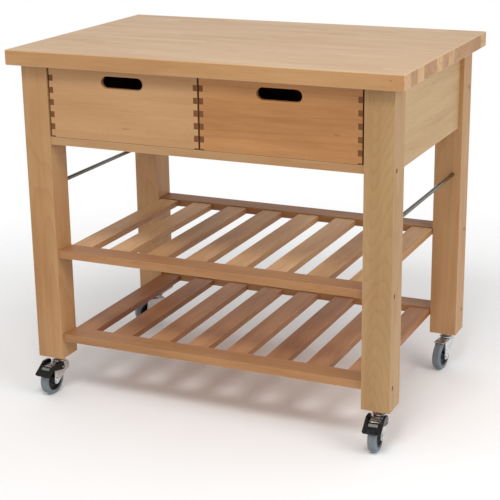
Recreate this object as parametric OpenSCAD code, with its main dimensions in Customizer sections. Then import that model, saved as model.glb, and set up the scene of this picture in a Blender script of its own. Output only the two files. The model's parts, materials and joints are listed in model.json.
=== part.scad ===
/* [Worktop] */
// Width of the worktop, left to right
top_w = 1000; // [900:10:1100]
// Depth of the worktop, front to back
top_d = 660; // [600:10:700]
// Thickness of the worktop
top_t = 37; // [30:1:45]
// Height of the worktop's upper face above the floor
top_z = 890; // [860:5:920]
// Chamfer along the worktop's edges
top_edge = 2; // [1:0.5:4]

/* [Frame] */
// Side of the square leg section
leg = 70; // [60:1:80]
// Overhang of the worktop past the legs at each end
overhang_x = 27; // [15:1:40]
// Overhang of the worktop past the legs at front and back
overhang_y = 25; // [15:1:40]
// Height of the side panels and the back panel
panel_h = 196; // [190:1:200]
// Thickness of the side panels and the back panel
panel_t = 20; // [18:1:22]
// Distance from a leg's outer face to a side panel's face
panel_inset = 11.5; // [8:0.5:14]
// Diameter of the steel side rods
rod_d = 10; // [6:1:12]
// Height of the rods' centre line
rod_z = 536; // [500:1:580]

/* [Shelves] */
// Height of the middle shelf's underside
mid_z = 369; // [340:1:400]
// Height of the lower shelf's underside
low_z = 146; // [140:1:180]
// Width of the rails and slats
slat_w = 57; // [50:1:60]
// Thickness of the slats
slat_t = 16.5; // [15:0.5:18]
// Thickness of the rails
rail_t = 19.5; // [18:0.5:22]
// Number of slats in a shelf
slat_count = 8; // [6:1:8]

/* [Drawers] */
// Gap between drawer fronts, and between a front and a leg
drawer_gap = 5; // [4:0.5:6]
// Thickness of a drawer front
front_t = 16; // [14:1:20]
// Thickness of a drawer side, which is also the depth of the box joint
side_t = 10.5; // [9:0.5:12]
// Depth of a drawer, front face to back face
drawer_d = 545; // [500:5:550]
// Width of the grip slot
slot_w = 110; // [90:1:130]
// Height of the grip slot
slot_h = 28; // [24:1:32]

/* [Casters] */
// Overall height of a caster, floor to leg
caster_h = 99; // [96:1:102]
// Diameter of a wheel
wheel_d = 75; // [74:0.5:76]
// Width of a tyre
tyre_w = 22; // [20:1:24]
// Distance from the swivel axis to the wheel's axle
trail = 33; // [32:0.5:34]

/* [Hidden] */
$fn = 48;
// Clearances: wood to wood, and pin to hole on the radius
fit = 0.1;
run = 0.08;
// The front brake pedals reach past the worktop, so the origin is set back to the middle of the whole depth
pedal_reach = 73.6 * cos(5) + 23 * sin(5);
front_reach = top_d / 2 - overhang_y - leg / 2 + pedal_reach;
y_mid = (front_reach - top_d / 2) / 2;

// Legs
leg_x = top_w / 2 - overhang_x - leg / 2;
leg_y = top_d / 2 - overhang_y - leg / 2;
inner_x = leg_x - leg / 2;
inner_y = leg_y - leg / 2;
under_z = top_z - top_t;
panel_z = under_z - panel_h;
panel_face = leg_x + leg / 2 - panel_inset;
tenon_l = 22;
tenon_t = 10;

// Rails
rail_y = leg_y;
mortise = 12;
tongue_t = 8;
tongue_z = 5;
drawer_rail_z = 660;
back_panel_y = leg_y + 17;

// Connector bolts: their offset from a leg's centre line, and their sizes
bolt_off = 16;
bolt_d = 6;
bolt_l = 95;
head_d = 11;
head_l = 5;
head_sink = 6;
hole_d = 12;
nut_d = 10;
nut_l = 14;
nut_from_end = 32;
bolt_z = [drawer_rail_z + rail_t / 2, mid_z + rail_t / 2, low_z + rail_t / 2];
back_bolt_z = [under_z - panel_h / 2, mid_z + rail_t / 2, low_z + rail_t / 2];

// Drawers
front_y = -(leg_y + leg / 2) + 3;
drawer_w = (2 * inner_x - 3 * drawer_gap) / 2;
drawer_z0 = drawer_rail_z + rail_t + 0.8;
drawer_z1 = under_z - 3;
drawer_h = drawer_z1 - drawer_z0;
finger = 14.8;
first_pin = 18.4;
finger_count = 6;
back_t = 10.5;
bottom_t = 6;
bottom_z = 8;
bottom_in = 5;
slot_drop = 28;

// Runners: a bearer under the drawer sides and a guide strip beside them
bearer_w = 40;
guide_t = 3.4;
guide_h = 14;
cleat = 20;
screw_d = 4;

// Casters
wheel_r = wheel_d / 2;
fork_gap = 28;
fork_t = 2.4;
fork_top = 78.8;
fork_arc = 41.3;
axle_d = 8;
hub_w = 24;
tyre_in = 27;
stem_d = 10;
stem_l = 28;
swivel = [-5, 3, -6, -35];
pedal_w = 46;
pivot_y = -14;
pivot_z = 69.5;
pivot_d = 5;

// Puts a shape drawn about the middle of the four legs into the object's frame
module placed() {
    translate([0, y_mid, 0]) children();
}

// A box centred in x and y that stands on z = 0
module board(size) {
    translate([-size[0] / 2, -size[1] / 2, 0]) cube(size);
}

// A rod along x, centred on the origin
module rod_x(d, l) {
    rotate([0, 90, 0]) cylinder(d = d, h = l, center = true);
}

// A rod along y, centred on the origin
module rod_y(d, l) {
    rotate([90, 0, 0]) cylinder(d = d, h = l, center = true);
}

// Worktop -----------------------------------------------------------------

module worktop() {
    color([0.80, 0.67, 0.54]) placed() difference() {
        translate([0, 0, under_z]) board([top_w, top_d, top_t]);
        for (sx = [-1, 1])
            for (z = [under_z, top_z])
                translate([sx * top_w / 2, 0, z]) rotate([0, 45, 0])
                    cube([top_edge * sqrt(2), top_d + 2, top_edge * sqrt(2)], center = true);
        for (sy = [-1, 1])
            for (z = [under_z, top_z])
                translate([0, sy * top_d / 2, z]) rotate([45, 0, 0])
                    cube([top_w + 2, top_edge * sqrt(2), top_edge * sqrt(2)], center = true);
        screw_places() translate([0, 0, cleat - 2]) cylinder(d = screw_d + 2 * fit, h = 14.5);
    }
}

// Frame -------------------------------------------------------------------

// Bores for one row of connector bolts through a leg, along x from its outer face at x = leg / 2
module bolt_bores(heights, y) {
    for (z = heights)
        translate([0, y, z]) {
            rod_x(bolt_d + 1, leg + 2);
            translate([leg / 2 - (head_l + head_sink) / 2 + 0.5, 0, 0]) rod_x(hole_d, head_l + head_sink + 1);
        }
}

// A leg with its outer faces at +x and +y; front legs are the same leg turned about
module leg_body(heights) {
    difference() {
        translate([0, 0, caster_h]) board([leg, leg, under_z - caster_h]);
        bolt_bores(heights, bolt_off);
        // Mortise for the side panel's tenon
        translate([leg / 2 - panel_inset - panel_t / 2 - tenon_t / 2 - fit, -leg / 2 - 1, panel_z + 15 - fit])
            cube([tenon_t + 2 * fit, tenon_l + 1 + fit, panel_h - 30 + 2 * fit]);
        // Blind hole for the side rod
        translate([leg / 2 - 21.5, -leg / 2, rod_z]) rod_y(rod_d + 2 * fit, 32);
        // Hole for the caster stem
        translate([0, 0, caster_h - 1]) cylinder(d = stem_d + 2 * run, h = stem_l + 2);
    }
}

module leg_at(sx, sy, heights) {
    color(sy < 0 ? [0.72, 0.52, 0.34] : [0.70, 0.50, 0.32])
        placed() translate([sx * leg_x, sy * leg_y, 0])
            mirror([sx < 0 ? 1 : 0, 0, 0]) mirror([0, sy < 0 ? 1 : 0, 0])
                leg_body(heights);
}

module side_panel(sx) {
    color([0.78, 0.64, 0.49]) placed() {
        translate([sx * (panel_face - panel_t / 2), 0, panel_z]) board([panel_t, 2 * inner_y, panel_h]);
        translate([sx * (panel_face - panel_t / 2), 0, panel_z + 15])
            board([tenon_t, 2 * inner_y + 2 * tenon_l, panel_h - 30]);
    }
}

// Bores in the end grain of a rail or panel, with the cross holes for the barrel nuts
module end_bores(y, z, nut_drop) {
    for (sx = [-1, 1]) {
        translate([sx * (inner_x - 22), y, z]) rod_x(bolt_d + 1, 48);
        translate([sx * (inner_x - nut_from_end), y, z - nut_drop])
            cylinder(d = nut_d + 2 * fit, h = nut_l + 4);
    }
}

module back_panel() {
    color([0.76, 0.61, 0.46]) placed() difference() {
        translate([0, back_panel_y, panel_z]) board([2 * inner_x, panel_t, panel_h]);
        for (sx = [-1, 1]) {
            translate([sx * (inner_x - 22), leg_y + bolt_off, back_bolt_z[0]]) rod_x(bolt_d + 1, 48);
            translate([sx * (inner_x - nut_from_end), back_panel_y - panel_t / 2, back_bolt_z[0]])
                rod_y(nut_d + 2 * fit, 31);
        }
    }
}

module drawer_rail() {
    color([0.72, 0.54, 0.37]) placed() difference() {
        translate([0, front_y + slat_w / 2, drawer_rail_z]) board([2 * inner_x, slat_w, rail_t]);
        end_bores(-leg_y - bolt_off, bolt_z[0], rail_t / 2 + 1);
    }
}

// Rods --------------------------------------------------------------------

module side_rod(sx) {
    color([0.62, 0.64, 0.66]) placed()
        translate([sx * (leg_x + leg / 2 - 21.5), 0, rod_z]) rod_y(rod_d, 2 * inner_y + 30);
}

// Drawer runners and worktop cleats ----------------------------------------

runner_y0 = front_y + slat_w + 0.5;
runner_y1 = back_panel_y - panel_t / 2;
bearer_z = drawer_z0 - 0.1;

// A bearer along y just below the drawers' undersides, and a guide strip on it at guide_x
module runner(x0, w, guide_x) {
    color([0.75, 0.60, 0.45]) placed() {
        translate([x0 + w / 2, (runner_y0 + runner_y1) / 2, bearer_z - rail_t])
            board([w, runner_y1 - runner_y0, rail_t]);
        translate([guide_x, (runner_y0 + runner_y1) / 2, bearer_z - 1])
            board([guide_t, runner_y1 - runner_y0, guide_h + 1]);
    }
}

module side_runner(sx) {
    inner_face = panel_face - panel_t;
    w = inner_face - (inner_x - bearer_w);
    difference() {
        runner(sx > 0 ? inner_x - bearer_w : -inner_face, w, sx * (inner_x - drawer_gap / 2));
        // Notches round the legs
        placed() for (sy = [-1, 1])
            translate([sx * leg_x, sy * leg_y, bearer_z - rail_t - 1])
                board([leg + 2 * fit, leg + 2 * fit, rail_t + guide_h + 2]);
    }
}

module cleat(sx) {
    color([0.75, 0.60, 0.45]) placed() difference() {
        translate([sx * (panel_face - panel_t - cleat / 2), 0, under_z - cleat])
            board([cleat, 2 * inner_y - 20, cleat]);
        for (y = [-150, 0, 150])
            translate([sx * (panel_face - panel_t - cleat / 2), y, under_z - cleat - 1])
                cylinder(d = screw_d + 0.6, h = cleat + 2);
    }
}

// Places the worktop screws at the cleats, from the cleats' underside
module screw_places() {
    for (sx = [-1, 1])
        for (y = [-150, 0, 150])
            translate([sx * (panel_face - panel_t - cleat / 2), y, under_z - cleat]) children();
}

module top_screws() {
    color([0.55, 0.56, 0.58]) placed() screw_places() {
        translate([0, 0, -2.5]) cylinder(d = 8, h = 2.5);
        translate([0, 0, -1]) cylinder(d = screw_d, h = 33);
    }
}

// Shelves -----------------------------------------------------------------

// Calls its children at each slat's place along x
module slat_places() {
    pitch = (2 * inner_x - 4 - slat_w) / (slat_count - 1);
    for (i = [0 : slat_count - 1])
        translate([(i - (slat_count - 1) / 2) * pitch, 0, 0]) children();
}

// A shelf rail with a mortise for each slat's tongue
module shelf_rail(sy, z) {
    color([0.69, 0.47, 0.34]) placed() difference() {
        translate([0, sy * rail_y, z]) board([2 * inner_x, slat_w, rail_t]);
        slat_places() translate([0, sy * (rail_y - slat_w / 2 + mortise / 2 - 1), z + tongue_z])
            board([slat_w + 2 * fit, mortise + 2, tongue_t]);
        end_bores(sy * (leg_y + bolt_off), z + rail_t / 2, rail_t / 2 + 1);
    }
}

module slats(z) {
    span = 2 * (rail_y - slat_w / 2);
    color([0.68, 0.46, 0.33]) placed() slat_places() translate([0, 0, z]) {
        board([slat_w, span - 2 * fit, slat_t]);
        translate([0, 0, tongue_z + fit]) board([slat_w, span + 2 * mortise - 2, tongue_t - 2 * fit]);
    }
}

// Fasteners ---------------------------------------------------------------

// Calls its children at each bolt, in a frame with +x pointing out of the leg's outer face
module bolt_places() {
    for (sx = [-1, 1])
        for (sy = [-1, 1])
            for (z = sy < 0 ? bolt_z : back_bolt_z)
                placed() translate([sx * inner_x, sy * (leg_y + bolt_off), z])
                    mirror([sx < 0 ? 1 : 0, 0, 0]) children();
}

module connector_bolts() {
    color([0.35, 0.34, 0.33]) bolt_places()
        translate([leg - head_sink, 0, 0]) difference() {
            union() {
                translate([-head_l / 2, 0, 0]) rod_x(head_d, head_l);
                translate([-head_l - bolt_l / 2 + 1, 0, 0]) rod_x(bolt_d, bolt_l);
            }
            // Hexagon socket
            translate([-2, 0, 0]) rotate([0, 90, 0]) cylinder(d = 4.6, h = 3, $fn = 6);
        }
}

module barrel_nuts() {
    color([0.60, 0.58, 0.52])
        for (sx = [-1, 1])
            for (sy = [-1, 1])
                for (i = [0 : 2]) {
                    z = sy < 0 ? bolt_z[i] : back_bolt_z[i];
                    lies = sy > 0 && i == 0;
                    y = lies ? back_panel_y - 1 : sy * (leg_y + bolt_off);
                    placed() translate([sx * (inner_x - nut_from_end), y, z]) difference() {
                        if (lies) rod_y(nut_d, nut_l - 3);
                        else translate([0, 0, -rail_t / 2 + 0.5]) cylinder(d = nut_d, h = nut_l);
                        translate([0, sy * (leg_y + bolt_off) - y, 0]) rod_x(bolt_d + 2 * run, nut_d + 2);
                    }
                }
}

// Drawers -----------------------------------------------------------------

// The spaces that a side's fingers take in the box joint, as a stack of boxes grown by g
module finger_stack(g) {
    for (i = [0 : finger_count - 1]) {
        z1 = drawer_h - first_pin - 2 * i * finger;
        z0 = max(z1 - finger, -1);
        translate([-side_t / 2 - g - 1, -1, z0 - g]) cube([side_t + 2 * g + 2, front_t + 2, z1 - z0 + 2 * g]);
    }
}

module drawer_frame(sx) {
    placed() translate([sx * (drawer_w + drawer_gap) / 2, front_y, drawer_z0]) children();
}

module drawer_front(sx) {
    color([0.66, 0.42, 0.26]) drawer_frame(sx) difference() {
        translate([0, front_t / 2, 0]) board([drawer_w, front_t, drawer_h]);
        for (s = [-1, 1])
            translate([s * (drawer_w / 2 - side_t / 2 + 1), 0, 0]) finger_stack(fit / 2);
        // Stadium grip slot with an eased rim
        translate([0, 0, drawer_h - slot_drop]) {
            translate([0, front_t / 2, 0]) cube([slot_w - slot_h, front_t + 2, slot_h], center = true);
            for (s = [-1, 1])
                translate([s * (slot_w - slot_h) / 2, front_t / 2, 0]) rod_y(slot_h, front_t + 2);
        }
        // Groove for the bottom
        translate([0, front_t - bottom_in, bottom_z - fit])
            translate([-drawer_w / 2 + side_t - bottom_in, 0, 0])
                cube([drawer_w - 2 * side_t + 2 * bottom_in, bottom_in + 1, bottom_t + 2 * fit]);
    }
}

module drawer_side(sx, s) {
    color([0.48, 0.30, 0.18]) drawer_frame(sx) translate([s * (drawer_w / 2 - side_t / 2), 0, 0]) difference() {
        union() {
            translate([0, (front_t + drawer_d) / 2, 0]) board([side_t, drawer_d - front_t, drawer_h]);
            intersection() {
                translate([0, front_t / 2 + 0.5, 0]) board([side_t, front_t + 1, drawer_h]);
                finger_stack(-fit / 2);
            }
        }
        translate([-s * (side_t / 2 - bottom_in / 2 + 0.5), drawer_d / 2, bottom_z - fit])
            board([bottom_in + 1, drawer_d + 2, bottom_t + 2 * fit]);
    }
}

module drawer_back(sx) {
    h = drawer_h - 20 - bottom_z - bottom_t - fit;
    color([0.72, 0.56, 0.40]) drawer_frame(sx)
        translate([0, drawer_d - back_t / 2 - 8, bottom_z + bottom_t + fit])
            board([drawer_w - 2 * side_t - 2 * fit, back_t, h]);
}

module drawer_bottom(sx) {
    color([0.78, 0.66, 0.50]) drawer_frame(sx)
        translate([0, (front_t - bottom_in + drawer_d) / 2 + fit, bottom_z])
            board([drawer_w - 2 * side_t + 2 * bottom_in - 2 * fit, drawer_d - front_t + bottom_in - 4, bottom_t]);
}

// Casters -----------------------------------------------------------------

// Drawn with the swivel axis on z and the wheel trailing towards -y
module caster_frame(i) {
    sx = [-1, 1, 1, -1][i];
    sy = [-1, -1, 1, 1][i];
    placed() translate([sx * leg_x, sy * leg_y, 0]) rotate([0, 0, swivel[i]]) children();
}

module at_axle() {
    translate([0, -trail, wheel_r]) children();
}

module caster_stem(i) {
    color([0.80, 0.81, 0.82]) caster_frame(i) {
        // Ball-race cup, collar and threaded stem
        rotate_extrude()
            polygon([[0, fork_top + 0.4], [15, fork_top + 0.4], [17.5, fork_top + 2.4], [17.5, fork_top + 4.4],
                     [13, fork_top + 7.2], [9, caster_h - 6], [9, caster_h], [0, caster_h]]);
        translate([0, 0, caster_h - 1]) cylinder(d = stem_d, h = stem_l + 1);
        // Rivet through the fork's top
        translate([0, 0, fork_top - 5.2]) cylinder(d = 8, h = 6);
        translate([0, 0, fork_top - 6.4]) cylinder(d = 13, h = 2.4 + 1);
    }
}

// Outline of a fork cheek in the y, z plane
module cheek_outline() {
    difference() {
        union() {
            translate([-trail, wheel_r]) circle(r = 9.5);
            translate([8.5, fork_top - 12.5]) circle(r = 12.5);
            polygon([[-trail - 9.4, wheel_r + 1], [-trail - 6.5, 62], [-trail - 4, fork_top], [8.5, fork_top],
                     [20.6, fork_top - 15.5], [-trail + 6.2, wheel_r - 7.2]]);
        }
        translate([-trail, wheel_r]) circle(d = axle_d + 2 * fit);
    }
}

// The pressed U section that the fork is bent from, in the x, z plane
module fork_section() {
    o = fork_gap / 2 + fork_t;
    difference() {
        union() {
            translate([-o, 0]) square([2 * o, fork_top - 5]);
            translate([-o + 5, 0]) square([2 * o - 10, fork_top]);
            for (s = [-1, 1]) translate([s * (o - 5), fork_top - 5]) circle(r = 5);
        }
        translate([-fork_gap / 2, -1]) square([fork_gap, fork_top - fork_t + 1]);
    }
}

module caster_fork(i) {
    braked = i < 2;
    o = fork_gap / 2 + fork_t;
    color([0.76, 0.77, 0.78]) caster_frame(i) {
        difference() {
            intersection() {
                rotate([90, 0, 0]) linear_extrude(height = 200, center = true) fork_section();
                rotate([90, 0, 90]) linear_extrude(height = 60, center = true) cheek_outline();
            }
            translate([0, 0, fork_top - 10]) cylinder(d = 8 + 2 * run, h = 12);
        }
        // Front of the crown, curved down over the wheel
        at_axle() rotate([0, 90, 0]) linear_extrude(height = fork_gap - 1, center = true)
            intersection() {
                difference() {
                    circle(r = fork_arc);
                    circle(r = fork_arc - fork_t + 0.4);
                }
                polygon([[0, 0], [-60, 8], [-60, -22.4]]);
            }
        if (braked)
            for (s = [-1, 1])
                translate([s * (o + 3), pivot_y, pivot_z]) rod_x(pivot_d, 8);
    }
}

module caster_axle(i) {
    o = fork_gap / 2 + fork_t;
    color([0.70, 0.71, 0.72]) caster_frame(i) at_axle() {
        rod_x(axle_d, 2 * o + 6);
        for (s = [-1, 1]) translate([s * (o + 1.3), 0, 0]) rod_x(axle_d + 5, 2.6);
    }
}

// Hub: a web with a rim flange on each side, and a plain bearing bore
module caster_hub(i) {
    r_bore = axle_d / 2 + run;
    color([0.06, 0.06, 0.06]) caster_frame(i) at_axle() rotate([0, 90, 0]) rotate_extrude()
        polygon([[r_bore, -hub_w / 2], [9, -hub_w / 2], [11, -6], [20, -5], [23, -10], [tyre_in, -10],
                 [tyre_in, 10], [23, 10], [20, 5], [11, 6], [9, hub_w / 2], [r_bore, hub_w / 2]]);
}

// Tyre: a band with round shoulders
module caster_tyre(i) {
    h = tyre_w / 2;
    r = 6.5;
    color([0.42, 0.45, 0.48]) caster_frame(i) at_axle() rotate([0, 90, 0]) rotate_extrude($fn = 96)
        difference() {
            union() {
                translate([tyre_in, -h]) square([wheel_r - tyre_in - r, tyre_w]);
                translate([tyre_in, -h + r]) square([wheel_r - tyre_in, tyre_w - 2 * r]);
                for (s = [-1, 1]) translate([wheel_r - r, s * (h - r)]) circle(r = r);
            }
            translate([tyre_in - 10, -h - 1]) square([10, tyre_w + 2]);
        }
}

// Brake pedal: a tread plate over the wheel, with an arm on each side that turns on the fork's pins
module caster_pedal(i) {
    inner = fork_gap / 2 + fork_t + 0.7;
    color([0.09, 0.09, 0.09]) caster_frame(i) {
        rotate([90, 0, 90]) linear_extrude(height = pedal_w, center = true)
            polygon([[-50.2, 76.9], [-48.8, 74.1], [-71.8, 56.8], [-73.6, 59.4]]);
        for (s = [-1, 1])
            translate([s * (inner + pedal_w / 2) / 2, 0, 0]) rotate([90, 0, 90])
                linear_extrude(height = pedal_w / 2 - inner, center = true)
                    difference() {
                        union() {
                            translate([pivot_y, pivot_z]) circle(r = 7);
                            polygon([[pivot_y - 1, pivot_z - 7], [-44, 68.5], [-48.8, 74.1], [-50.2, 76.9],
                                     [-40.5, 84.1], [-36, 86], [-19, 86], [-11, 82.5], [pivot_y + 7, pivot_z]]);
                        }
                        translate([pivot_y, pivot_z]) circle(d = pivot_d + 2 * run);
                    }
        // Raised tab on the tread
        translate([0, -55, 72.6]) rotate([36.8, 0, 0]) board([24, 8, 1.8]);
    }
}

worktop();
leg_at(-1, -1, bolt_z);  // leg_front_left
leg_at(1, -1, bolt_z);  // leg_front_right
leg_at(-1, 1, back_bolt_z);  // leg_back_left
leg_at(1, 1, back_bolt_z);  // leg_back_right
side_panel(-1);  // side_panel_left
side_panel(1);  // side_panel_right
back_panel();
drawer_rail();
side_runner(-1);  // runner_left
side_runner(1);  // runner_right
runner(-bearer_w, 2 * bearer_w, 0);  // runner_centre
cleat(-1);  // cleat_left
cleat(1);  // cleat_right
top_screws();
side_rod(-1);  // rod_left
side_rod(1);  // rod_right
shelf_rail(-1, mid_z);  // mid_rail_front
shelf_rail(1, mid_z);  // mid_rail_back
slats(mid_z);  // mid_slats
shelf_rail(-1, low_z);  // low_rail_front
shelf_rail(1, low_z);  // low_rail_back
slats(low_z);  // low_slats
connector_bolts();
barrel_nuts();
drawer_front(-1);  // drawer_left_front
drawer_side(-1, -1);  // drawer_left_side_left
drawer_side(-1, 1);  // drawer_left_side_right
drawer_back(-1);  // drawer_left_back
drawer_bottom(-1);  // drawer_left_bottom
drawer_front(1);  // drawer_right_front
drawer_side(1, -1);  // drawer_right_side_left
drawer_side(1, 1);  // drawer_right_side_right
drawer_back(1);  // drawer_right_back
drawer_bottom(1);  // drawer_right_bottom
caster_stem(0);  // caster_fl_stem
caster_fork(0);  // caster_fl_fork
caster_axle(0);  // caster_fl_axle
caster_hub(0);  // caster_fl_hub
caster_tyre(0);  // caster_fl_tyre
caster_pedal(0);  // caster_fl_pedal
caster_stem(1);  // caster_fr_stem
caster_fork(1);  // caster_fr_fork
caster_axle(1);  // caster_fr_axle
caster_hub(1);  // caster_fr_hub
caster_tyre(1);  // caster_fr_tyre
caster_pedal(1);  // caster_fr_pedal
caster_stem(2);  // caster_br_stem
caster_fork(2);  // caster_br_fork
caster_axle(2);  // caster_br_axle
caster_hub(2);  // caster_br_hub
caster_tyre(2);  // caster_br_tyre
caster_stem(3);  // caster_bl_stem
caster_fork(3);  // caster_bl_fork
caster_axle(3);  // caster_bl_axle
caster_hub(3);  // caster_bl_hub
caster_tyre(3);  // caster_bl_tyre
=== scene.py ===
import json
import math

import bmesh
import bpy
from mathutils import Matrix, Vector


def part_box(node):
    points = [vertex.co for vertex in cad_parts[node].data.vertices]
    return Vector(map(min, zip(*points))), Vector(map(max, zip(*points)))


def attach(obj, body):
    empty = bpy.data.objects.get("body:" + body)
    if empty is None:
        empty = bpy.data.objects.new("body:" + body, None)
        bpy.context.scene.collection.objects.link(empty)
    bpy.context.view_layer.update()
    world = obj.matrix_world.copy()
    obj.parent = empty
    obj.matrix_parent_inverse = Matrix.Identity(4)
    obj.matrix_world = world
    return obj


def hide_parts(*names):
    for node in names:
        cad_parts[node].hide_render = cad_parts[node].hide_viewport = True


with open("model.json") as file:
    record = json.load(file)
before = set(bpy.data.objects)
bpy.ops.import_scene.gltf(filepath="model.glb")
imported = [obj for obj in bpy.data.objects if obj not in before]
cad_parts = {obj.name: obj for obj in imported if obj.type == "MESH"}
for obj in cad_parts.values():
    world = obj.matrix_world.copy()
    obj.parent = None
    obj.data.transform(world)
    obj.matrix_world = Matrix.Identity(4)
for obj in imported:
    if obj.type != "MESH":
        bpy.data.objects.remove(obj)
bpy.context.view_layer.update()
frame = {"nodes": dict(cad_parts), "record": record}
nodes = frame["nodes"]
scene = bpy.context.scene

MM = 0.001
AXES = "XYZ"
LEGS = ("front_left", "front_right", "back_left", "back_right")
SIDES = ("left", "right")


# Camera ----------------------------------------------------------------------

AZIMUTH, ELEVATION, ROLL = 24.532, 17.486, -0.800  # degrees
STANDS_AT = (1.367, -3.023, 1.395)  # metres, from the floor midway between the legs
LENS, SENSOR_W = 97.2, 36  # millimetres


def make_camera():
    """At the photograph's angle: right of the trolley and a little above it."""
    az, el, roll = (math.radians(angle) for angle in (AZIMUTH, ELEVATION, ROLL))
    forward = Vector((-math.sin(az) * math.cos(el), math.cos(az) * math.cos(el), -math.sin(el)))
    right = Vector((math.cos(az), math.sin(az), 0))
    up = right.cross(forward)
    across = math.cos(roll) * right + math.sin(roll) * up
    upright = math.cos(roll) * up - math.sin(roll) * right
    turn = Matrix((across, upright, -forward)).transposed().to_4x4()
    x, y, z = STANDS_AT
    between_legs = (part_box("leg_front_left")[0].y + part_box("leg_back_left")[1].y) / 2
    data = bpy.data.cameras.new("camera")
    data.lens, data.sensor_width = LENS, SENSOR_W
    data.clip_start, data.clip_end = 0.1, 30
    camera = bpy.data.objects.new("camera", data)
    camera.matrix_world = Matrix.Translation((x, y + between_legs, z)) @ turn
    scene.collection.objects.link(camera)
    scene.camera = camera


make_camera()


# Node graphs -------------------------------------------------------------------

def srgb(text):
    """A linear colour from a hexadecimal sRGB one."""
    value = [int(text[i:i + 2], 16) / 255 for i in (0, 2, 4)]
    return [c / 12.92 if c <= 0.04045 else ((c + 0.055) / 1.055) ** 2.4 for c in value] + [1.0]


def grey(level):
    return (level, level, level, 1.0)


class Graph:
    """A material's node tree, with one method for each kind of node the materials use."""

    def __init__(self, name):
        self.material = bpy.data.materials.new(name)
        self.material.use_nodes = True
        self.tree = self.material.node_tree
        self.tree.nodes.clear()
        self.shader = self.node("ShaderNodeBsdfPrincipled")
        out = self.node("ShaderNodeOutputMaterial")
        self.tree.links.new(self.shader.outputs["BSDF"], out.inputs["Surface"])
        where = self.node("ShaderNodeTexCoord")
        self.place = where.outputs["Object"]
        self.normal = where.outputs["Normal"]

    def node(self, kind, **settings):
        made = self.tree.nodes.new(kind)
        for key, value in settings.items():
            setattr(made, key, value)
        return made

    def put(self, socket, value):
        """Gives a socket a plain value, or links another node's output to it."""
        if isinstance(value, bpy.types.NodeSocket):
            self.tree.links.new(value, socket)
        else:
            socket.default_value = value

    def fill(self, made, *values):
        """Gives a node's first inputs these values, and returns its first output."""
        for socket, value in zip(made.inputs, values):
            self.put(socket, value)
        return made.outputs[0]

    def set(self, **values):
        """Sets the shader's own inputs, with _ for each space in their names."""
        for key, value in values.items():
            self.put(self.shader.inputs[key.replace("_", " ")], value)

    def math(self, kind, a, b=0.0, clamp=False):
        return self.fill(self.node("ShaderNodeMath", operation=kind, use_clamp=clamp), a, b)

    def vector(self, kind, a, b=(0, 0, 0)):
        made = self.node("ShaderNodeVectorMath", operation=kind)
        self.fill(made, a, b)
        return made.outputs["Value" if kind in ("LENGTH", "DOT_PRODUCT") else "Vector"]

    def split(self, vector):
        made = self.node("ShaderNodeSeparateXYZ")
        self.fill(made, vector)
        return made.outputs

    def join(self, x, y, z):
        return self.fill(self.node("ShaderNodeCombineXYZ"), x, y, z)

    def scaled(self, *factors):
        """The place on the surface, scaled by one factor or by one for each axis."""
        return self.vector("MULTIPLY", self.place, factors if len(factors) == 3 else factors * 3)

    def noise(self, where, detail, rough, bend=0.0):
        made = self.node("ShaderNodeTexNoise")
        self.put(made.inputs["Vector"], where)
        for key, value in (("Scale", 1.0), ("Detail", detail), ("Roughness", rough), ("Distortion", bend)):
            self.put(made.inputs[key], value)
        return made.outputs["Fac"]

    def hash(self, where):
        """A random number and a random colour for a point."""
        made = self.node("ShaderNodeTexWhiteNoise", noise_dimensions="3D")
        self.put(made.inputs["Vector"], where)
        return made.outputs["Value"], made.outputs["Color"]

    def cells(self, where):
        """The distance to the nearest of many scattered points, and that point's own colour."""
        made = self.node("ShaderNodeTexVoronoi")
        self.put(made.inputs["Vector"], where)
        self.put(made.inputs["Scale"], 1.0)
        return made.outputs["Distance"], made.outputs["Color"]

    def smooth(self, value, low, high, to_low=0.0, to_high=1.0):
        """A value taken from low..high to to_low..to_high, with an eased start and end."""
        made = self.node("ShaderNodeMapRange", interpolation_type="SMOOTHSTEP")
        return self.fill(made, value, low, high, to_low, to_high)

    def swing(self, value, size):
        """A value of 0 to 1 as one that swings by half the size either way."""
        return self.math("MULTIPLY", self.math("SUBTRACT", value, 0.5), size)

    def ramp(self, value, stops):
        made = self.node("ShaderNodeValToRGB")
        points = made.color_ramp.elements
        while len(points) < len(stops):
            points.new(0.5)
        for point, (at, colour) in zip(points, stops):
            point.position = at
            point.color = colour
        return self.fill(made, value)

    def mix(self, part, a, b, kind="MIX"):
        made = self.node("ShaderNodeMix", data_type="RGBA", blend_type=kind)
        # The sockets in between are the ones for numbers and vectors
        for index, value in ((0, part), (6, a), (7, b)):
            self.put(made.inputs[index], value)
        return made.outputs[2]

    def stain(self, colour, part, tint):
        """A colour multiplied by a tint, as far as part says."""
        return self.mix(part, colour, tint, "MULTIPLY")

    def bump(self, height, strength, depth):
        made = self.node("ShaderNodeBump")
        for key, value in (("Strength", strength), ("Distance", depth), ("Height", height)):
            self.put(made.inputs[key], value)
        self.set(Normal=made.outputs[0])

    def arris(self, radius, flat, turned):
        """0 on flat faces, rising to 1 within a radius of an edge."""
        corner = self.node("ShaderNodeBevel", samples=4)
        self.put(corner.inputs["Radius"], radius)
        surface = self.node("ShaderNodeNewGeometry").outputs["Normal"]
        return self.smooth(self.vector("DOT_PRODUCT", corner.outputs[0], surface), flat, turned)


# Wood ------------------------------------------------------------------------------

# About how often each kind of figure repeats in a metre, along the fibres and across them
DRIFT = (1.8, 13.0)
STREAKS = (5.0, 90.0)
FIBRES = (22.0, 700.0)
RAYS = (230.0, 1300.0)
RINGS_ACROSS = 9.0
PORES = 1500.0

# A growth ring's darkness, from its early wood to the sharp end of its late wood
RING = [(at, grey(dark)) for at, dark in ((0.0, 0.0), (0.55, 0.18), (0.90, 0.85), (0.965, 1.0), (1.0, 0.0))]

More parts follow.
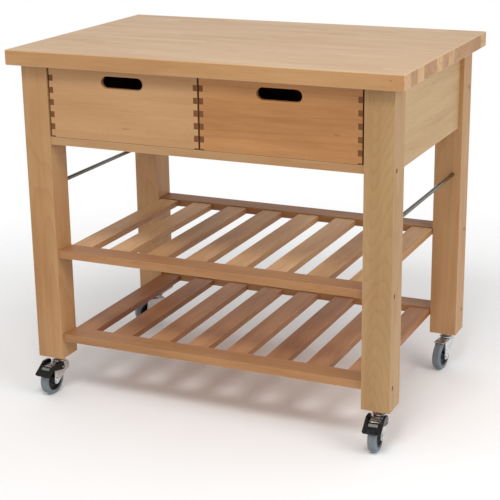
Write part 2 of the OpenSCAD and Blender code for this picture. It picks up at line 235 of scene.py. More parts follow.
# What each kind of figure multiplies the wood's colour by
LATE_TINT = (0.72, 0.52, 0.36, 1.0)
RAY_TINT = (0.55, 0.36, 0.24, 1.0)
FIBRE_TINT = (0.70, 0.55, 0.42, 1.0)
END_LATE_TINT = (0.50, 0.38, 0.28, 1.0)
END_BOARD_TINT = (0.52, 0.40, 0.32, 1.0)
GOLD_TINT = (1.0, 1.0, 0.94, 1.0)

PORE = (0.12, 0.065, 0.025, 1.0)
KNOT = srgb("5A3420")
# Pale colour on the arrises: partly wear, partly a painted highlight on the rounded edges
ARRIS_WEAR_AND_HIGHLIGHT = srgb("E2C4A0")

# How much of each tint shows, and how far each kind of figure moves the tone from its middle
LATE_PART, RAY_PART, FIBRE_PART, END_LATE_PART = 0.42, 0.34, 0.16, 0.45
MIDDLE_TONE, DRIFT_SWING, STREAK_SWING, BOARD_SWING = 0.42, 1.5, 0.5, 1.6
# How far each kind stands out of the surface or lies in it, as parts of the grain's depth in metres
FIBRE_RISE, RAY_DIP, LATE_DIP, GRAIN_DEPTH = 0.6, 0.35, 0.25, 0.00025
# A plain-sawn face's rings: how bent they are, how close together, how uneven, and how their centre wanders
ARCH_BEND, ARCH_RINGS, ARCH_WAVER, ARCH_WANDER = 900.0, 20.0, 23.0, 0.05
ARRIS_R = 0.0022
OIL_SPECULAR, END_ROUGHNESS = 0.42, 0.18


class Timber(Graph):
    """A graph for a piece of wood, glued up from boards of one width that may be made of shorter staves."""

    def __init__(self, name, grain, stack, board, offset, stave, seed):
        super().__init__(name)
        self.along = AXES.index(grain)
        self.across = [axis for axis in range(3) if axis != self.along]
        self.xyz = self.split(self.place)
        self.facing = self.split(self.normal)
        row, length = 0.0, 0.0
        if stack:
            from_first = self.math("SUBTRACT", self.xyz[AXES.index(stack)], offset)
            row = self.math("FLOOR", self.math("DIVIDE", from_first, board))
        if stave:
            # The staves of each board start at a different place, and the first board is in one length
            start, _ = self.hash(self.join(row, seed, 3.7))
            staves = self.math("DIVIDE", self.xyz[self.along], stave)
            staves = self.math("FLOOR", self.math("ADD", staves, self.math("MULTIPLY", start, 7.0)))
            length = self.math("MULTIPLY", staves, self.math("GREATER_THAN", row, 0.5))
        self.number, colour = self.hash(self.join(row, length, seed + 1.3))
        # Each board is cut from its own place in the tree
        self.cut = self.vector("ADD", self.place, self.vector("MULTIPLY", colour, (9.0,) * 3))
        self.spot = self.split(self.cut)

    def drawn(self, lengthways, crossways):
        """The place in the tree, scaled along the fibres and across them."""
        scaled = [self.math("MULTIPLY", self.spot[self.along], lengthways)]
        scaled += [self.math("MULTIPLY", self.spot[axis], crossways) for axis in self.across]
        return self.join(*scaled)

    def faces(self, axis, low, high):
        """1 on the faces that look along an axis, and 0 on the others."""
        return self.smooth(self.math("ABSOLUTE", self.facing[axis]), low, high)

    def growth_rings(self, drift, stretch, rings, arch):
        """How dark the rings are: the level lines of a field that is drawn out along the fibres."""
        field = self.noise(self.drawn(stretch, RINGS_ACROSS), 1.6, 0.42, 0.25)
        level = self.math("FRACT", self.math("MULTIPLY", field, rings))
        if arch:
            # A plain-sawn face: arched rings that turn over halfway along
            centre, low, high = arch
            sideways, outwards = self.across
            off = self.math("SUBTRACT", self.xyz[sideways], centre)
            off = self.math("ADD", off, self.swing(drift, ARCH_WANDER))
            lean = self.smooth(self.xyz[self.along], low, high, 1.0, -1.0)
            bend = self.math("MULTIPLY", lean, -ARCH_BEND)
            arched = self.math("MULTIPLY", self.math("MULTIPLY", off, off), bend)
            arched = self.math("ADD", arched, self.math("MULTIPLY", self.xyz[self.along], -ARCH_RINGS))
            arched = self.math("ADD", arched, self.math("MULTIPLY", field, ARCH_WAVER))
            arched = self.math("FRACT", arched)
            face = self.faces(outwards, 0.6, 0.9)
            plain = self.math("MULTIPLY", level, self.math("SUBTRACT", 1.0, face))
            level = self.math("ADD", plain, self.math("MULTIPLY", arched, face))
        return self.ramp(level, RING)

    def knot(self, paint, streak, place, size, strength):
        """The paint with a ragged dark spot of this size."""
        away = self.vector("MULTIPLY", self.vector("SUBTRACT", self.place, place), [1.0 / s for s in size])
        away = self.math("ADD", self.vector("LENGTH", away), self.swing(streak, 0.8))
        return self.mix(self.smooth(away, 1.0, 0.35, 0.0, strength), paint, KNOT)


def wood(name, grain, tones, stack=None, board=1.0, offset=0.0, stave=0.0, spread=0.5, seed=0.0,
         figure=0.55, stretch=1.15, rings=13.0, arch=None, end="8A5F3F", end_part=0.7, end_spread=0.0,
         edge=None, knots=(), wear_and_highlight=0.45, gloss=0.46):
    """Oiled beech.

    grain: the axis that the fibres run along
    tones: its pale, middle and dark colours
    stack, board, offset: the axis that boards are glued along, their width, and where the first starts
    stave: the length of a board's staves, where it has any
    spread, seed: how much the boards differ in tone, and which boards they are
    figure, stretch, rings: the growth rings' strength, how fast they change along the fibres, their number
    arch: the centre line and the two ends of the bend in a plain-sawn face's rings
    end, end_part, end_spread: the end grain's colour, how much of it shows and how much boards differ in it
    edge: a darker tint for the faces that look along the first axis across the grain, as painted shade
    knots: a place, a size and a strength each
    wear, gloss: how pale the arrises are, as wear and as a painted highlight, and how rough the oil is
    """
    g = Timber(name, grain, stack, board, offset, stave, seed)
    drift = g.noise(g.drawn(*DRIFT), 3.0, 0.55)
    streak = g.noise(g.drawn(*STREAKS), 4.0, 0.6)
    fibre = g.noise(g.drawn(*FIBRES), 3.0, 0.6)
    late = g.growth_rings(drift, stretch, rings, arch)
    # Rays are the short dark dashes of beech
    gap, which = g.cells(g.drawn(*RAYS))
    ray = g.math("MULTIPLY", g.smooth(gap, 0.42, 0.18), g.smooth(g.split(which)[0], 0.45, 0.75))

    tone = g.math("ADD", g.swing(drift, DRIFT_SWING), g.swing(g.number, spread * BOARD_SWING))
    tone = g.math("ADD", tone, g.swing(streak, STREAK_SWING))
    tone = g.math("ADD", tone, MIDDLE_TONE, clamp=True)
    paint = g.ramp(tone, [(at, srgb(shade)) for at, shade in zip((0.0, 0.5, 1.0), tones)])
    paint = g.stain(paint, g.math("MULTIPLY", late, figure * LATE_PART), LATE_TINT)
    paint = g.stain(paint, g.math("MULTIPLY", ray, RAY_PART), RAY_TINT)
    paint = g.stain(paint, g.smooth(fibre, 0.35, 0.75, 0.0, FIBRE_PART), FIBRE_TINT)

    pores, _ = g.cells(g.vector("MULTIPLY", g.cut, (PORES,) * 3))
    tip = g.mix(g.smooth(pores, 0.1, 0.55, 0.45, 0.0), srgb(end), PORE)
    tip = g.stain(tip, g.math("MULTIPLY", late, END_LATE_PART), END_LATE_TINT)
    if end_spread:
        tip = g.stain(tip, g.smooth(g.number, 0.1, 0.9, 0.0, end_spread), END_BOARD_TINT)
    ends = g.faces(g.along, 0.72, 0.93)
    paint = g.mix(g.math("MULTIPLY", ends, end_part), paint, tip)
    # Painted shade: the side faces across the grain are tinted darker than the other faces
    if edge:
        paint = g.stain(paint, g.faces(g.across[0], 0.6, 0.95), edge)
    for knot in knots:
        paint = g.knot(paint, streak, *knot)
    # The arrises are painted paler in patches: partly wear, partly a painted highlight along rounded edges
    patchy = g.smooth(streak, 0.35, 0.65, wear_and_highlight * 0.2, wear_and_highlight)
    paint = g.mix(g.math("MULTIPLY", g.arris(ARRIS_R, 0.995, 0.90), patchy), paint, ARRIS_WEAR_AND_HIGHLIGHT)
    g.set(Base_Color=g.stain(paint, 1.0, GOLD_TINT), Specular_IOR_Level=OIL_SPECULAR)

    rough = g.smooth(fibre, 0.3, 0.7, gloss - 0.05, gloss + 0.08)
    g.set(Roughness=g.math("ADD", rough, g.math("MULTIPLY", ends, END_ROUGHNESS)))
    height = g.math("SUBTRACT", g.math("MULTIPLY", fibre, FIBRE_RISE), g.math("MULTIPLY", ray, RAY_DIP))
    height = g.math("SUBTRACT", height, g.math("MULTIPLY", late, LATE_DIP))
    g.bump(height, 0.35, GRAIN_DEPTH)
    return g.material


# Metal, plastic and rubber -----------------------------------------------------------

DULL_METAL = srgb("8E9093")
# About how often each kind of mark repeats in a metre
METAL_PATCHES, METAL_PITS = 60.0, 900.0
BRUSHED_ALONG, BRUSHED_ACROSS = 12.0, 1400.0
PRESSED_LINES = (420.0, 420.0, 900.0)
PLASTIC_CLOUDS = 120.0
RUBBER_CLOUDS, RUBBER_SPECKS = 70.0, 2600.0
# How far a scuffed edge reaches, in metres
SCUFF_R = 0.0009


def steel(name, tint, rough, brushed=None):
    """Bright plated steel with faint drawing lines, a few dull patches and fine pits."""
    g = Graph(name)
    patch = g.noise(g.scaled(METAL_PATCHES), 4.0, 0.6)
    steps = PRESSED_LINES
    if brushed:
        steps = [BRUSHED_ALONG if axis == brushed else BRUSHED_ACROSS for axis in AXES]
    lines = g.noise(g.scaled(*steps), 2.0, 0.5)
    pit, _ = g.cells(g.scaled(METAL_PITS))
    dull = g.math("ADD", g.smooth(patch, 0.45, 0.75, 0.0, 0.10), g.smooth(pit, 0.16, 0.05, 0.0, 0.10))
    rough = g.math("ADD", g.smooth(lines, 0.3, 0.7, rough - 0.03, rough + 0.05), dull)
    paint = g.mix(g.smooth(patch, 0.4, 0.8, 0.0, 0.5), srgb(tint), DULL_METAL)
    g.set(Metallic=1.0, Roughness=rough, Base_Color=paint)
    g.bump(g.math("ADD", lines, g.math("MULTIPLY", patch, 2.0)), 0.12, 0.00008)
    return g.material


def plastic(name, tint, scratch, rough, grain, specular=0.5):
    """Moulded plastic with a fine grain, cloudy dust and scuffed edges."""
    g = Graph(name)
    pit, _ = g.cells(g.scaled(grain))
    cloud = g.noise(g.scaled(PLASTIC_CLOUDS), 4.0, 0.6)
    worn = g.math("MULTIPLY", g.arris(SCUFF_R, 0.99, 0.85), g.smooth(cloud, 0.4, 0.7, 0.03, 0.30))
    dusty = g.mix(g.smooth(cloud, 0.35, 0.75, 0.0, 0.12), srgb(tint), srgb(scratch))
    g.set(Base_Color=g.mix(worn, dusty, srgb(scratch)), Specular_IOR_Level=specular)
    g.set(Roughness=g.smooth(cloud, 0.3, 0.7, rough - 0.06, rough + 0.10))
    g.bump(pit, 0.10, 0.00010)
    return g.material


def rubber(name, tint, shade, dust):
    """Matt tyre rubber with specks of dust."""
    g = Graph(name)
    cloud = g.noise(g.scaled(RUBBER_CLOUDS), 4.0, 0.6)
    speck = g.noise(g.scaled(RUBBER_SPECKS), 2.0, 0.5)
    paint = g.mix(g.smooth(cloud, 0.3, 0.75), srgb(tint), srgb(shade))
    g.set(Base_Color=g.mix(g.smooth(speck, 0.55, 0.75, 0.0, 0.25), paint, srgb(dust)))
    g.set(Roughness=g.smooth(cloud, 0.3, 0.7, 0.46, 0.62))
    g.bump(speck, 0.2, 0.0001)
    return g.material


# This trolley's materials --------------------------------------------------------------

top_low, top_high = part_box("worktop")
left_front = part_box("drawer_left_front")[0]
right_front, right_front_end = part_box("drawer_right_front")
slats_low, slats_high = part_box("mid_slats")

SLATS, SLAT_W = 8, 0.057
slat_pitch = (slats_high.x - slats_low.x - SLAT_W) / (SLATS - 1)
# Every slat counts as one board, which starts halfway across the gap before it
slats_start = slats_low.x - (slat_pitch - SLAT_W) / 2

TOP_BOARD_W = 0.047
PANEL_BOARD_W = 0.066
RIGHT_FRONT_BOARD_W = 0.1235
LEG_BOARD_W = 0.0701
# The worktop's first board starts just outside its front face, so that the whole face lies in it
SKIN = 0.0005

WOODS = {
    # The worktop's front and back faces get painted shade through edge, for the lesser sheen on them
    "top": dict(
        grain="X", tones=("D4B796", "C8A581", "BA906B"), stack="Y", board=TOP_BOARD_W,
        offset=top_low.y - SKIN, stave=0.62, spread=0.09, figure=0.25, seed=2.0, end="D2A882",
        end_part=0.75, end_spread=0.85, gloss=0.40, edge=(0.82, 0.66, 0.48, 1.0),
        knots=[((top_high.x - 0.030, top_low.y, (top_low.z + top_high.z) / 2 + 0.004),
                (0.0022, 0.01, 0.0022), 0.85)]),
    "rail": dict(grain="X", tones=("BB946B", "AE845B", "9D714A"), seed=11.0, figure=0.5),
    "panel": dict(
        grain="Y", tones=("C4A881", "BA9A72", "AB855D"), stack="Z", board=PANEL_BOARD_W,
        offset=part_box("side_panel_left")[0].z, spread=0.30, figure=0.40, seed=5.0, stretch=0.6),
    "back": dict(
        grain="X", tones=("C4A881", "B89770", "A8835B"), stack="Z", board=PANEL_BOARD_W,
        offset=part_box("back_panel")[0].z, spread=0.30, figure=0.45, seed=6.0, stretch=0.6),
    "inner": dict(grain="Y", tones=("C9A47A", "BB9064", "A87C52"), seed=8.0, figure=0.4),
    "shelf_rail": dict(grain="X", tones=("BC8F6A", "AC7C52", "986843"), seed=14.0, figure=0.5),
    # Painted light: the middle shelf's slats are painted paler than the low shelf's, though the same wood
    # Painted shade on both shelves' slats: their side faces in the gaps are tinted darker through edge
    "mid_slats": dict(
        grain="Y", tones=("E6C094", "D2A578", "B0845C"), stack="X", board=slat_pitch,
        offset=slats_start, spread=0.40, figure=0.5, seed=16.0, edge=(0.66, 0.56, 0.47, 1.0)),
    "low_slats": dict(
        grain="Y", tones=("C5926A", "AC764C", "8F5935"), stack="X", board=slat_pitch,
        offset=slats_start, spread=0.35, figure=0.45, seed=18.0, edge=(0.70, 0.60, 0.50, 1.0)),
    "front_left": dict(
        grain="X", tones=("C69B70", "BB8F65", "AC7C54"), spread=0.10, figure=0.40, seed=21.0,
        stretch=0.30, rings=8.0,
        knots=[((left_front.x + 0.205, left_front.y, left_front.z + 0.034), (0.016, 0.01, 0.0016), 0.4)]),
    "front_right": dict(
        grain="X", tones=("C99A68", "B98452", "9F6B40"), stack="Z", board=RIGHT_FRONT_BOARD_W,
        offset=right_front.z, spread=0.45, figure=0.75, seed=24.0, stretch=0.45, rings=10.0,
        knots=[((right_front_end.x - 0.060, right_front.y, right_front.z + 0.062),
                (0.014, 0.01, 0.0020), 0.55)]),
    "drawer_side": dict(
        grain="Y", tones=("B98A62", "A97A54", "946645"), seed=31.0, end="784618", end_part=1.0,
        figure=0.5, wear_and_highlight=0.08),
    "drawer_in": dict(grain="X", tones=("D3B68F", "C6A47B", "B58F66"), seed=33.0, figure=0.4),
}

LEG_TONES = {
    "front_left": ("C39A6F", "B78C60", "A7774B"),
    "front_right": ("B6936A", "AA865C", "9B7248"),
    "back_left": ("CBA177", "BF9367", "AE7D51"),
    "back_right": ("C39C72", "B78D63", "A7794D"),
}
for index, leg in enumerate(LEGS):
    # One board a little wider than the leg, which starts exactly at its front face
    WOODS["leg_" + leg] = dict(
        grain="Z", tones=LEG_TONES[leg], stack="Y", board=LEG_BOARD_W, offset=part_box("leg_" + leg)[0].y,
        spread=0.35, figure=0.6, seed=40.0 + index)
leg_low, leg_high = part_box("leg_front_right")
WOODS["leg_front_right"].update(figure=0.62, arch=((leg_low.x + leg_high.x) / 2, 0.40, 0.62))

mats = {key: wood("beech_" + key, **settings) for key, settings in WOODS.items()}
mats["rod"] = steel("rod_steel", "80817C", 0.20, brushed="Y")
mats["bolt"] = steel("bolt_steel", "7A5C38", 0.36)
mats["zinc"] = steel("zinc_steel", "B9B6AE", 0.30)
mats["chrome"] = steel("caster_chrome", "E2E4E6", 0.26)
mats["hub"] = plastic("hub_plastic", "080808", "363636", 0.36, 1500.0, 0.30)
mats["pedal"] = plastic("pedal_plastic", "080706", "3A3A38", 0.24, 1200.0, 0.28)
mats["tab"] = plastic("tab_plastic", "77776F", "9A9A94", 0.42, 1200.0)
mats["tyre"] = rubber("tyre_rubber", "727B80", "626A70", "90979B")


# Mesh tools ------------------------------------------------------------------------------

# Points closer than this many millimetres are one point, and faces that turn less than this many
# degrees are one face
WELD_WITHIN, FLAT_WITHIN = 0.01, 1.0


def coat(obj, material):
    obj.data.materials.clear()
    obj.data.materials.append(material)


def round_arrises(obj, radius, segments, angle, harden=True):
    """Rounds the edges that turn more than an angle in degrees, by a radius in millimetres."""
    bevel = obj.modifiers.new("bevel", "BEVEL")
    bevel.width = radius * MM
    bevel.segments = segments
    bevel.limit_method = "ANGLE"
    bevel.angle_limit = math.radians(angle)
    bevel.harden_normals = harden


def ease(node, material, radius, segments=3, angle=25):
    """Gives a CAD node its material, and rounds its arrises by a radius in millimetres."""
    obj = nodes[node]
    coat(obj, mats[material])
    weld = obj.modifiers.new("weld", "WELD")
    weld.merge_threshold = WELD_WITHIN * MM
    # Flat faces come as triangles, which would spoil the bevel
    flat = obj.modifiers.new("flat", "DECIMATE")
    flat.decimate_type = "DISSOLVE"
    flat.angle_limit = math.radians(FLAT_WITHIN)
    round_arrises(obj, radius, segments, angle)


def as_object(name, edit):
    """A new object in the row frame, from a mesh that is being edited."""
    mesh = bpy.data.meshes.new(name)
    edit.to_mesh(mesh)
    edit.free()
    obj = bpy.data.objects.new(name, mesh)
    scene.collection.objects.link(obj)
    return obj


def as_piece(name, edit, material, body, stands_for=None, place=None, sharp=35, bevel=0.0):
    """A smooth piece that rides on a body. Its edges are sharp from an angle in degrees, or none are."""
    bmesh.ops.recalc_face_normals(edit, faces=edit.faces)
    piece = as_object(name, edit)
    piece.data.shade_smooth()
    if sharp:
        piece.data.set_sharp_from_angle(angle=math.radians(sharp))
    if place:
        piece.matrix_world = place
    coat(piece, mats[material])
    if bevel:
        round_arrises(piece, bevel, 3, sharp)
    if stands_for:
        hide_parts(stands_for)
    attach(piece, body)
    return piece


def arc(cx, cy, r, start, stop, steps, ry=None):
    """Points on a circle from one angle in degrees to another, or on an ellipse of half height ry."""
    turns = [math.radians(start + (stop - start) * k / steps) for k in range(steps + 1)]
    return [(cx + r * math.cos(t), cy + (ry or r) * math.sin(t)) for t in turns]


def mirrored(points):
    return [(-x, y) for x, y in reversed(points)]


def bridge(edit, a, b):
    """A band of faces between two loops that have as many points."""
    for k in range(len(a)):
        n = (k + 1) % len(a)
        edit.faces.new((a[k], a[n], b[n], b[k]))


def fill_flat(edit, loops):
    """Faces between an outline and the holes in it."""
    edges = [edit.edges.get(pair) for loop in loops for pair in zip(loop, loop[1:] + loop[:1])]
    bmesh.ops.triangle_fill(edit, use_beauty=True, use_dissolve=False, edges=edges)


def slab(edit, outlines, place, low, high):
    """A flat plate from low to high: an outline, then its holes. place turns (u, v, w) into a point."""
    ends = []
    for w in (low, high):
        ends.append([[edit.verts.new(place(u, v, w)) for u, v in points] for points in outlines])
    for near, far in zip(*ends):
        bridge(edit, near, far)
    for loops in ends:
        fill_flat(edit, loops)


def lathe(edit, profile, segments=96):
    """A closed profile of (x, radius) points in millimetres, turned round the x axis."""
    turns = [2 * math.pi * k / segments for k in range(segments)]
    rings = [[edit.verts.new((x * MM, r * MM * math.cos(t), r * MM * math.sin(t))) for t in turns]
             for x, r in profile]
    for ring, following in zip(rings, rings[1:] + rings[:1]):
        bridge(edit, ring, following)


# Woodwork ------------------------------------------------------------------------

ease("worktop", "top", 1.2)
for leg in LEGS:
    ease("leg_" + leg, "leg_" + leg, 1.8, 4)
for side in SIDES:
    ease("side_panel_" + side, "panel", 1.0)
    ease("runner_" + side, "inner", 0.8)
    ease("cleat_" + side, "inner", 0.8)
    ease("rod_" + side, "rod", 0.4)
ease("runner_centre", "inner", 0.8)
ease("back_panel", "back", 1.0)
ease("drawer_rail", "rail", 1.2)
for level in ("mid", "low"):
    ease(level + "_rail_front", "shelf_rail", 1.8, 4)
    ease(level + "_rail_back", "shelf_rail", 1.8, 4)
    ease(level + "_slats", level + "_slats", 1.6, 4)
ease("connector_bolts", "bolt", 0.3)
ease("barrel_nuts", "zinc", 0.3)
ease("top_screws", "zinc", 0.3)


# Drawers -------------------------------------------------------------------------

# The box joint: the side's fingers that show, the first one's drop, and each one's height and depth
FINGERS, FIRST_DROP, FINGER_H, FINGER_DEPTH = 6, 0.0184, 0.0148, 0.0105
# The finger slot: its width, the radius of its ends, and how far its centre is below the board's top
SLOT_W, SLOT_R, SLOT_DROP = 0.110, 0.014, 0.028
RIM_R, RIM_STEPS, END_STEPS = 0.0042, 6, 16


def drawer_front(side):
    """A drawer's front board, with pockets for the sides' fingers and a slot with a rounded rim."""
    node = "drawer_" + side + "_front"
    low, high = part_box(node)
    edit = bmesh.new()

    def loop(points, y):
        return [edit.verts.new((x, y, z)) for x, z in points]

    def slot(grow):
        centre, z = (low.x + high.x) / 2, high.z - SLOT_DROP
        reach, r = SLOT_W / 2 - SLOT_R, SLOT_R + grow
        return arc(centre + reach, z, r, -90, 90, END_STEPS) + arc(centre - reach, z, r, 90, 270, END_STEPS)

    # The rim turns in from the front face, and out again to the back one
    turns = [math.radians(90 * k / RIM_STEPS) for k in range(RIM_STEPS + 1)]
    rim = [(RIM_R * (1 - math.sin(t)), RIM_R * (1 - math.cos(t))) for t in turns]
    rings = [loop(slot(grow), low.y + depth) for grow, depth in rim]
    rings += [loop(slot(grow), high.y - depth) for grow, depth in reversed(rim)]
    for a, b in zip(rings, rings[1:]):
        bridge(edit, b, a)

    # One end of the board from the top down, as (inset, z)
    end = [(0.0, high.z)]
    for i in range(FINGERS):
        top = high.z - FIRST_DROP - 2 * i * FINGER_H
        bottom = top - FINGER_H
        end += [(0.0, top), (FINGER_DEPTH, top)]
        end += [(FINGER_DEPTH, bottom), (0.0, bottom)] if bottom > low.z else [(FINGER_DEPTH, low.z)]
    outline = [(low.x + inset, z) for inset, z in end] + [(high.x - inset, z) for inset, z in reversed(end)]
    front, back = loop(outline, low.y), loop(outline, high.y)
    bridge(edit, front, back)
    fill_flat(edit, (rings[0], front))
    fill_flat(edit, (rings[-1], back))

    material, body = "front_" + side, "drawer_" + side
    piece = as_piece(node + "_board", edit, material, body, node, sharp=None)
    round_arrises(piece, 0.4, 2, 40, harden=False)
    even = piece.modifiers.new("even", "WEIGHTED_NORMAL")
    even.weight = 80


for side in SIDES:
    drawer = "drawer_" + side
    drawer_front(side)
    ease(drawer + "_side_left", "drawer_side", 0.4, 2)
    ease(drawer + "_side_right", "drawer_side", 0.4, 2)
    ease(drawer + "_back", "drawer_in", 0.6, 2)
    ease(drawer + "_bottom", "drawer_in", 0.4, 2)


# Wheels --------------------------------------------------------------------------

# Millimetres, as (distance from the wheel's middle, radius)
TYRE_FLANK = [(10.4, 27.0), (10.7, 27.5), (10.7, 28.5), (11.0, 28.9), (11.0, 29.7), (10.7, 30.1)]
TYRE_FLANK += [(10.75, 30.6)] + arc(4.5, 31.0, 6.5, 0, 90, 12)
TREAD_GROOVE = [(0.5, 37.5), (0.25, 37.4), (-0.25, 37.4), (-0.5, 37.5)]
TYRE = TYRE_FLANK + TREAD_GROOVE + mirrored(TYRE_FLANK)
HUB_SIDE = [(12, 4.1), (12, 8.2), (11.2, 9.1), (6.4, 11.2), (5.6, 12.2)]
HUB_SIDE += [(5.2, 19), (5.8, 20.6), (9.2, 22.6), (10, 23.4), (10, 27)]
HUB = HUB_SIDE + mirrored(HUB_SIDE)


def wheel(key, place):
    """A hub and its tyre."""
    body, name = "wheel_" + key, "caster_" + key
    edit = bmesh.new()
    lathe(edit, TYRE)
    as_piece(name + "_tyre_turned", edit, "tyre", body, name + "_tyre", place)
    edit = bmesh.new()
    lathe(edit, HUB)
    as_piece(name + "_hub_turned", edit, "hub", body, name + "_hub", place, bevel=0.3)


# Brake pedals --------------------------------------------------------------------

# Millimetres, from where the swivel's axis meets the floor: the start of the tread, and its slope's cosine
# and sine. Then half its width, how far it reaches up and down the slope, its corners and its thickness.
TREAD_Y, TREAD_Z = -50.2, 76.9
TREAD_COS, TREAD_SIN = 0.801, 0.599
TREAD_HALF, TREAD_BACK, TREAD_FRONT, TREAD_CORNER, TREAD_T = 23, -2, 29.2, 4.6, 3.1
# An arm's outline as (y, z), round about the fork's pin, then the pin's hole, and where the arm lies across
ARM_BACK = [(-49.4, 73.6), (-50.6, 76.5), (-41.0, 83.7), (-38.6, 85.2), (-36, 86), (-19, 86), (-15, 85.2)]
ARM_BACK += [(-11, 82.5), (-8.2, 75)]
PIN_Y, PIN_Z = -14, 69.5
ARM = ARM_BACK + arc(PIN_Y, PIN_Z, 7, 0, -100, 8) + [(-30, 65.2), (-44, 68.5)]
PIN_HOLE = arc(PIN_Y, PIN_Z, 2.7, 0, 345, 23)
ARM_INNER, ARM_OUTER = 17.1, 23
# The lip along the tread's back is a low arch on a short base
LIP = arc(0, 0, 15.5, 0, 180, 16, ry=4.2) + [(-15.5, -1.4), (15.5, -1.4)]
LIP_T = 2.6
# The tab is a small plate on the tread, given by its corners' centres, with three raised lines across it
TAB_HALF, TAB_NEAR, TAB_FAR, TAB_CORNER = 9.5, 4.6, 9.0, 1.6
TAB_LOW, TAB_HIGH = -0.6, 1.3
LINES, LINE_HALF, LINE_W = (4.7, 6.8, 8.9), 8.6, 0.9
LINE_LOW, LINE_HIGH = 1.0, 1.8


def tread_point(x, s, h):
    """A point on the pedal's tread: x across, s down its slope and h above it, in millimetres."""
    y = TREAD_Y - TREAD_COS * s - TREAD_SIN * h
    z = TREAD_Z - TREAD_SIN * s + TREAD_COS * h
    return (x * MM, y * MM, z * MM)


def pedal(key, place):
    """A brake pedal, as its black shell and its grey tab."""
    body, name = "pedal_" + key, "caster_" + key + "_pedal"
    edit = bmesh.new()
    corner = arc(TREAD_HALF - TREAD_CORNER, TREAD_FRONT - TREAD_CORNER, TREAD_CORNER, 90, 0, 6)
    tread = [(TREAD_HALF, TREAD_BACK), (-TREAD_HALF, TREAD_BACK)] + mirrored(corner) + corner
    slab(edit, [tread], tread_point, -TREAD_T, 0)
    for sign in (-1, 1):
        slab(edit, [ARM, PIN_HOLE], lambda y, z, x: (sign * x * MM, y * MM, z * MM), ARM_INNER, ARM_OUTER)
    slab(edit, [LIP], lambda x, h, s: tread_point(x, s, h), 0.0, LIP_T)
    as_piece(name + "_shell", edit, "pedal", body, name, place, bevel=0.9)

    edit = bmesh.new()
    tab = []
    for quarter, (x, s) in enumerate(((TAB_HALF, TAB_FAR), (-TAB_HALF, TAB_FAR),
                                      (-TAB_HALF, TAB_NEAR), (TAB_HALF, TAB_NEAR))):
        tab += arc(x, s, TAB_CORNER, 90 * quarter, 90 * quarter + 90, 4)
    slab(edit, [tab], tread_point, TAB_LOW, TAB_HIGH)
    for s in LINES:
        near, far = s - LINE_W / 2, s + LINE_W / 2
        line = [(-LINE_HALF, near), (LINE_HALF, near), (LINE_HALF, far), (-LINE_HALF, far)]
        slab(edit, [line], tread_point, LINE_LOW, LINE_HIGH)
    as_piece(name + "_tab", edit, "tab", body, place=place, bevel=0.2)


# Forks ---------------------------------------------------------------------------

# Millimetres: the wheel's radius, how far its axle trails the swivel, and the crown's curve about the axle
WHEEL_R, TRAIL, FORK_ARC = 37.5, 33, 41.3
# The crown's edge: half its width, its place from the swivel's axis, its bow, and how deep it sits
CROWN_HALF, CROWN_Y, CROWN_BOW, CROWN_SINK = 13.4, -44.6, 2.0, 0.7
# The roll along it: its half width and height, and how far out and how thin it ends
ROLL_W, ROLL_H = 2.3, 1.9
ROLL_END, THINNEST = 13.6, 0.02
ROLL_STEPS, ROLL_SIDES = 24, 16


def crown_lip(key, place):
    """The rolled front edge of the fork's crown, which lies on its curve over the wheel."""
    edit = bmesh.new()
    rings = []
    for k in range(ROLL_STEPS + 1):
        x = -CROWN_HALF + 2 * CROWN_HALF * k / ROLL_STEPS
        y = CROWN_Y - CROWN_BOW * (x / CROWN_HALF) ** 2
        z = WHEEL_R + math.sqrt(FORK_ARC ** 2 - (y + TRAIL) ** 2) - CROWN_SINK
        lean = math.asin((y + TRAIL) / FORK_ARC)
        fade = math.sqrt(max(1 - (x / ROLL_END) ** 4, THINNEST))
        ring = []
        for u, v in arc(0, 0, ROLL_W * fade, 0, 360, ROLL_SIDES, ry=ROLL_H * fade)[:-1]:
            over = y + u * math.cos(lean) + v * math.sin(lean)
            up = z - u * math.sin(lean) + v * math.cos(lean)
            ring.append(edit.verts.new((x * MM, over * MM, up * MM)))
        rings.append(ring)
    for a, b in zip(rings, rings[1:]):
        bridge(edit, a, b)
    edit.faces.new(rings[0])
    edit.faces.new(rings[-1])
    name = "caster_" + key + "_crown_lip"
    as_piece(name, edit, "chrome", "swivel_" + key, place=place, sharp=60)


record_joints = {joint["name"]: joint for joint in frame["record"]["behaviour"]["joints"]}

for key in ("fl", "fr", "br", "bl"):
    caster = "caster_" + key
    roll = record_joints[caster + "_roll"]
    heading = math.atan2(roll["axis"][1], roll["axis"][0])
    at_wheel = Matrix.Translation(roll["pos_m"]) @ Matrix.Rotation(heading, 4, "Z")
    at_swivel = at_wheel @ Matrix.Translation((0, TRAIL * MM, -WHEEL_R * MM))
    ease(caster + "_stem", "chrome", 0.3, 2)
    ease(caster + "_fork", "chrome", 0.6, 3, 35)
    ease(caster + "_axle", "chrome", 0.5, 3)
    wheel(key, at_wheel)
    crown_lip(key, at_swivel)
    if key in ("fl", "fr"):
        pedal(key, at_swivel)


# Studio --------------------------------------------------------------------------

FLOOR_HALF = 9
# The floor fades into the white surroundings between these distances from the trolley
FADE_FROM, FADE_TO = 0.75, 1.9
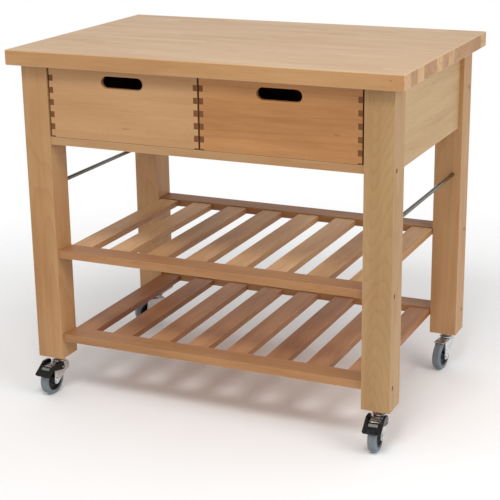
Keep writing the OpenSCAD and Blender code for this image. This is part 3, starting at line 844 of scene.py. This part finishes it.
# How bright the surroundings are as light, and as the camera sees them
AMBIENT, BACKDROP = 0.68, 1.0


def make_floor():
    """A pale floor that fades out into the white round it."""
    edit = bmesh.new()
    corners = [(-FLOOR_HALF, -FLOOR_HALF), (FLOOR_HALF, -FLOOR_HALF)]
    corners += [(FLOOR_HALF, FLOOR_HALF), (-FLOOR_HALF, FLOOR_HALF)]
    edit.faces.new([edit.verts.new((x, y, 0.0)) for x, y in corners])
    floor = as_object("floor", edit)
    g = Graph("studio_floor")
    g.set(Base_Color=g.mix(g.noise(g.scaled(3.0), 2.0, 0.5), grey(0.97), grey(0.95)), Roughness=0.8)
    g.set(Alpha=g.smooth(g.vector("LENGTH", g.place), FADE_FROM, FADE_TO, 1.0, 0.0))
    coat(floor, g.material)


def make_surroundings():
    """White all round, and brighter to the camera than as light on the trolley."""
    world = bpy.data.worlds.new("studio")
    world.use_nodes = True
    tree = world.node_tree
    back = tree.nodes["Background"]
    back.inputs["Color"].default_value = grey(1.0)
    rays = tree.nodes.new("ShaderNodeLightPath")
    level = tree.nodes.new("ShaderNodeMapRange")
    level.inputs["To Min"].default_value = AMBIENT
    level.inputs["To Max"].default_value = BACKDROP
    tree.links.new(rays.outputs["Is Camera Ray"], level.inputs["Value"])
    tree.links.new(level.outputs[0], back.inputs["Strength"])
    scene.world = world


def lamp(name, where, aim, size, power):
    """A soft rectangular light of a size in metres and a power in watts."""
    data = bpy.data.lights.new(name, "AREA")
    data.shape = "RECTANGLE"
    data.size, data.size_y = size
    data.energy = power
    obj = bpy.data.objects.new(name, data)
    obj.location = where
    obj.rotation_euler = (Vector(aim) - Vector(where)).to_track_quat("-Z", "Y").to_euler()
    scene.collection.objects.link(obj)


make_floor()
make_surroundings()
lamp("key", where=(0.5, -2.3, 3.7), aim=(0.0, 0.0, 0.6), size=(1.3, 1.0), power=58)
lamp("fill", where=(3.2, -1.0, 1.7), aim=(0.0, 0.0, 0.5), size=(2.0, 2.0), power=42)
scene.view_settings.view_transform = "Standard"
